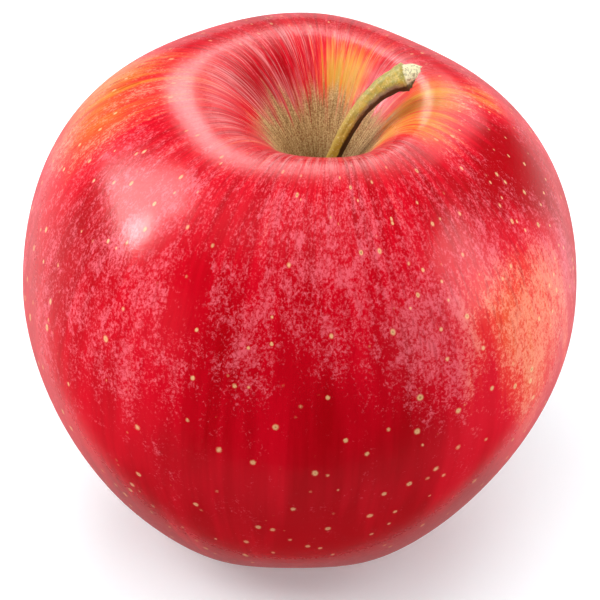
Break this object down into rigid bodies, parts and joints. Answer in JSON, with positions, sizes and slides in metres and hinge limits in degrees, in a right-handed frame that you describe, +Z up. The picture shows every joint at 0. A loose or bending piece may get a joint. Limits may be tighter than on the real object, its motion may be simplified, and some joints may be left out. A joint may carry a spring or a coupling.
{
  "type": "apple",
  "caption": "Whole ripe red apple standing on its base, with a curved woody stem in its cavity and the dried sepals and stamens in its calyx basin.",
  "frame": {"origin": "on the surface that the fruit stands on, under the middle of the bounding box", "axes": "+Z up along the core, +X the way the stem curves over, -Y the side that faces the viewer"},
  "size_m": [0.078, 0.078, 0.0756],
  "materials": {
    "skin": "satin",
    "stem": "matte",
    "calyx": "matte"
  },
  "bodies": {
    "root": {"fruit": "skin", "stem": "stem", "sepal_1": "calyx", "sepal_2": "calyx", "sepal_3": "calyx", "sepal_4": "calyx", "sepal_5": "calyx", "stamen_tuft": "calyx"}
  },
  "joints": []
}
